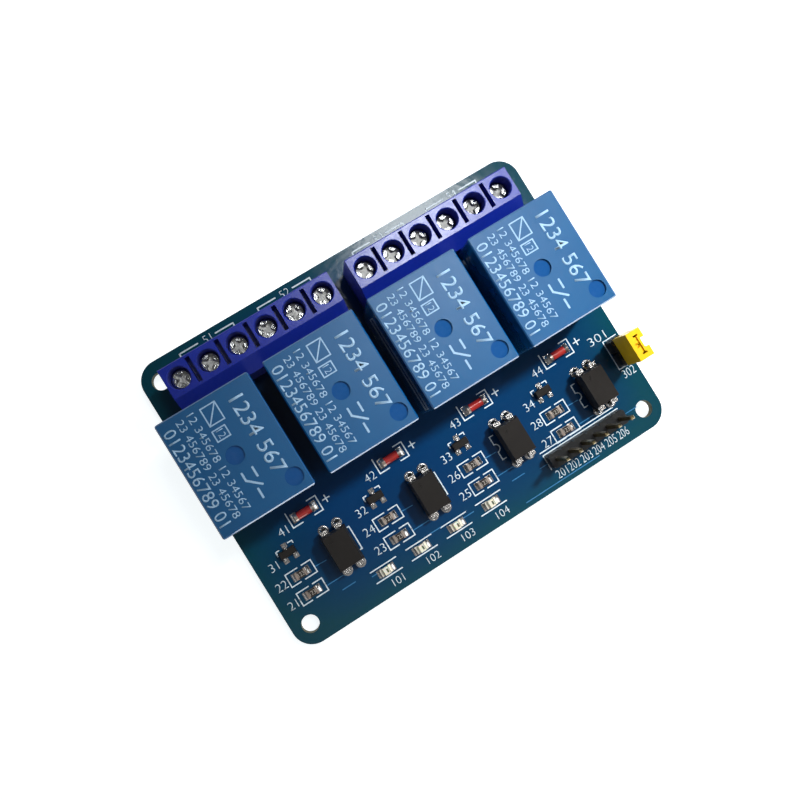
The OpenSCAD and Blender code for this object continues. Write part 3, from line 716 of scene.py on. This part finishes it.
# %% Relay print
down, outline_width, contact_width = math.radians(-90), 0.2, 0.32
for name, box in zip(numbered("relay_print"), relays):
    centre, level = spot(box), box[1].z + film_lift
    printed = []
    for text, across, along, height, length in print_lines:
        place, weight = beside(centre, (across, along)), 0.006 * (height - 2)
        printed.append(number(text, place, height, level, down, length, weight))
    for outline in (coil + coil[:1], [coil[0], coil[2]], plate + plate[:1]):
        printed += path(centre, outline, outline_width, level)
    printed.append(number("12", beside(centre, (-0.05, 3.75)), 1.1, level, down))
    for contact in contacts:
        printed += path(centre, contact, contact_width, level)
    film(printed, name, 0.015)
dress(pale_ink, *numbered("relay_print"))

# %% [markdown]
# ## Solder
#
# A ring of solder rises round each optocoupler lead, and a small ramp joins every chip end to its patch. One
# of each is modelled and then copied to its places, each copy with its own mesh. The ring starts as a torus
# that is pressed flatter, the ramp as a block whose far edge is lowered and whose edges are rounded.

# %% Copies of a drop of solder at many places
def copies(model, places, name):
    made = []
    for place in places:
        twin = model.copy()
        twin.data = model.data.copy()
        bpy.context.scene.collection.objects.link(twin)
        twin.data.transform(place)
        made.append(twin)
    bpy.data.objects.remove(model)
    whole = join(made, name)
    make_active(whole)
    bpy.ops.object.shade_smooth_by_angle(angle=math.radians(40))
    dress(solder, name)
    print(name, len(made), "copies,", len(whole.data.polygons), "faces")


# %% Solder round the optocoupler leads
lead_pitch, half_lead = 2.54 * MM, 0.125 * MM
patch_top = solids("surface_solder")[0][1].z
lead_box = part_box("optocoupler_leads")
lead_rows = (lead_box[0].y + half_lead, lead_box[1].y - half_lead)
places = [Matrix.Translation(((box[0].x + box[1].x) / 2 + side * lead_pitch / 2, y, patch_top))
          for box in optos for side in (-1, 1) for y in lead_rows]

clear_selection()
bpy.ops.mesh.primitive_torus_add(major_radius=0.68 * MM, minor_radius=0.15 * MM, major_segments=24,
                                 minor_segments=8)
collar = bpy.context.object
bpy.ops.object.mode_set(mode="EDIT")
bpy.ops.mesh.select_all(action="SELECT")
bpy.ops.transform.resize(value=(1, 1, 0.7))
bpy.ops.object.mode_set(mode="OBJECT")
copies(collar, places, "lead_solder")

# %% A ramp of solder
def ramp(length, width, height):
    clear_selection()
    bpy.ops.mesh.primitive_cube_add(size=1)
    wedge = bpy.context.object
    wedge.scale = (length * MM, width * MM, height * MM)
    apply_place()
    for corner in wedge.data.vertices:
        corner.co.x += length / 2 * MM
        corner.co.z += height / 2 * MM
    bpy.ops.object.mode_set(mode="EDIT")
    bpy.ops.mesh.select_all(action="DESELECT")
    shape = bmesh.from_edit_mesh(wedge.data)
    for corner in shape.verts:
        corner.select_set(corner.co.x > length / 2 * MM and corner.co.z > height / 2 * MM)
    shape.select_flush_mode()
    bpy.ops.transform.translate(value=(0, 0, -0.75 * height * MM))
    bpy.ops.mesh.select_all(action="SELECT")
    bpy.ops.mesh.bevel(offset=0.2 * height * MM, segments=2)
    bpy.ops.object.mode_set(mode="OBJECT")
    return wedge


# %% Solder ramps at the ends of chips, diodes and lights
ends = []
for bodies, cap in ((chips, 0.4), (diodes, 0.5), (solids("light_bases"), 0.0)):
    for low, high in bodies:
        for x, facing in ((low.x - cap * MM, math.pi), (high.x + cap * MM, 0)):
            place = Matrix.Translation((x, (low.y + high.y) / 2, patch_top))
            ends.append(place @ Matrix.Rotation(facing, 4, "Z"))
copies(ramp(0.5, 1.25, 0.4), ends, "chip_solder")

# %% [markdown]
# ## Digits on the chips and seams on the lights
#
# A chip's value is printed on it in three tiny digits, and a light shows its seams and a darker square
# through the resin. Both are films like the board's print, laid on the small parts' own tops.

# %% Digits on the chips
digit_marks = [number("123", spot(box), 0.7, box[1].z + film_lift, 0, 1.05) for box in chips]
film(digit_marks, "chip_digits", 0.01)
code_ink = moulded("code ink", srgb(224, 214, 204), srgb(190, 178, 166), 0.5, 0.2, 0.004)
dress(code_ink, "chip_digits")

# %% Seams on the lights
seam_x, seam_width, square_width = 0.5, 0.07, 0.3
square, seam_level = [(0.2, -0.2), (0.2, 0.2)], lights[0][1].z + film_lift
seams = []
for box in lights:
    reach = (box[1].y - box[0].y) / 2 / MM - 0.05
    for x in (-seam_x, seam_x):
        seams += path(spot(box), [(x, -reach), (x, reach)], seam_width, seam_level)
    seams += path(spot(box), square, square_width, seam_level)
film(seams, "light_seams", 0.01)
seam_paint = moulded("seam paint", srgb(96, 104, 70), srgb(70, 74, 52), 0.5, 0.2, 0.005)
dress(seam_paint, "light_seams")

# %% [markdown]
# ## Tracks
#
# The copper shows through the lacquer as faint paler lines. On a real board they run everywhere, but only a
# few catch the eye, so a few short runs link the small parts, and one long run follows the front edge.

# %% Tracks under the lacquer
track_width, bus_y = 0.16, board_low.y / MM + 0.9
tracks = ([(-5.6, -0.4), (-3.4, -0.5)], [(-5.6, -4.1), (-2.4, -4.1), (-1.6, -4.6)],
          [(-3.6, -6.1), (-1.2, -6.1)], [(1.6, -6.9), (4.8, -6.9)])
runs = []
for box in optos:
    for track in tracks:
        runs += path(spot(box), track, track_width, ink_level)
bus = [(optos[2][0].x / MM - 1.2, bus_y), (optos[3][0].x / MM - 3.0, bus_y)]
runs += path((0, 0), bus, track_width, ink_level)
film(runs, "board_tracks", 0.01)
copper = moulded("copper under lacquer", srgb(66, 128, 172), srgb(34, 98, 148), 0.12, 0.5, 0.004)
dress(copper, "board_tracks")

# %% [markdown]
# ## Floor, lamps and sky
#
# A pale floor carries the module. It glows only to the camera and in reflections, so that it reads white,
# keeps the shadow and sheds no light of its own. More light would also turn it white, but would bleach the
# board. A small window high up gives the sheen on the relays and terminals. A soft key lamp falls off
# towards the left end, which is darker, and stays out of the reflections. A wide weak lamp at the right
# fills the sides, and a long low one in front puts glints on the leads.

# %% Floor
daylight = (0.95, 0.99, 1.0)
clear_selection()
bpy.ops.mesh.primitive_plane_add(size=3, location=(0, 0, cad_box[0][2] - 0.01 * MM))
floor = bpy.context.object
apply_place()
floor.name = "floor"
paper = Finish("pale paper", Roughness=0.9)
seen = paper.node("ShaderNodeLightPath", out="Is Camera Ray")
mirrored = paper.node("ShaderNodeLightPath", out="Is Glossy Ray")
fibres = paper.mix(paper.noise(20, 2), srgb(244, 245, 246), srgb(240, 241, 243))
paper.feed("Base Color", paper.mix(seen, fibres, srgb(196, 198, 200)))
glow = paper.node("ShaderNodeEmission",
                  inputs={"Color": (*daylight, 1), "Strength": 0.87 * seen + 0.8 * mirrored})
both = paper.node("ShaderNodeAddShader", inputs={0: Wire(paper, paper.shader.outputs[0]), 1: glow})
output = next(n for n in paper.tree.nodes if n.type == "OUTPUT_MATERIAL")
paper.tree.links.new(both.socket, output.inputs["Surface"])
dress(paper, "floor")

# %% Lamps
def lamp(kind, name, place, aim, power, **shape):
    data = bpy.data.lights.new(name, kind)
    data.energy, data.color = power, daylight
    for key, value in shape.items():
        setattr(data, key, value)
    light = bpy.data.objects.new(name, data)
    bpy.context.scene.collection.objects.link(light)
    light.location = place
    light.rotation_euler = (Vector(aim) - Vector(place)).to_track_quat("-Z", "Y").to_euler()
    print(name, power, "W")
    return light


lamp("AREA", "window", (0.174, 0.124, 0.639), (0, 0, 0), 0.8, size=0.12)
lamp("AREA", "right lamp", (0.30, -0.12, 0.18), (0, 0, 0), 0.28, size=0.2)
key = lamp("SPOT", "key", (0.29, 0.095, 0.43), (0.027, 0, 0.01), 15.5,
           spot_size=math.radians(11.6), spot_blend=0.75, shadow_soft_size=0.03)
key.visible_glossy = False
lamp("AREA", "front lamp", (0.04, -0.3, 0.014), (0, 0, 0.01), 0.25,
     shape="RECTANGLE", size=0.24, size_y=0.04)

# %% [markdown]
# The sky is what the glossy lacquer mirrors, so its pattern matters more than its light. It is bright low
# down and dark overhead, with walls that are a little brighter on the right and at the front, and a slight
# haze on the front of the ceiling. The camera sees it white.

# %% Sky
world = bpy.context.scene.world or bpy.data.worlds.new("sky")
bpy.context.scene.world = world
sky = Nodes(world, "BACKGROUND")
toward = sky.node("ShaderNodeTexCoord", out="Generated")
east, north, height = (sky.node("ShaderNodeSeparateXYZ", inputs={0: toward}, out=axis) for axis in "XYZ")
wall = sky.clamp((0.93 - height) / 0.25)
horizon = sky.clamp((0.35 - height) / 0.2)
front = sky.clamp(-5 * north) ** 2
walls_light = wall * (0.09 + 0.07 * east - 0.06 * north)
room = 0.06 + walls_light + 0.55 * horizon + 0.35 * front * (1 - wall)
in_view = sky.node("ShaderNodeLightPath", out="Is Camera Ray")
sky.feed("Strength", room * (1 - in_view) + 0.98 * in_view)
sky.shader.inputs["Color"].default_value = (0.96, 0.98, 1.0, 1.0)
bpy.context.scene.view_settings.view_transform = "Standard"
print("sky made of", len(sky.tree.nodes), "nodes")
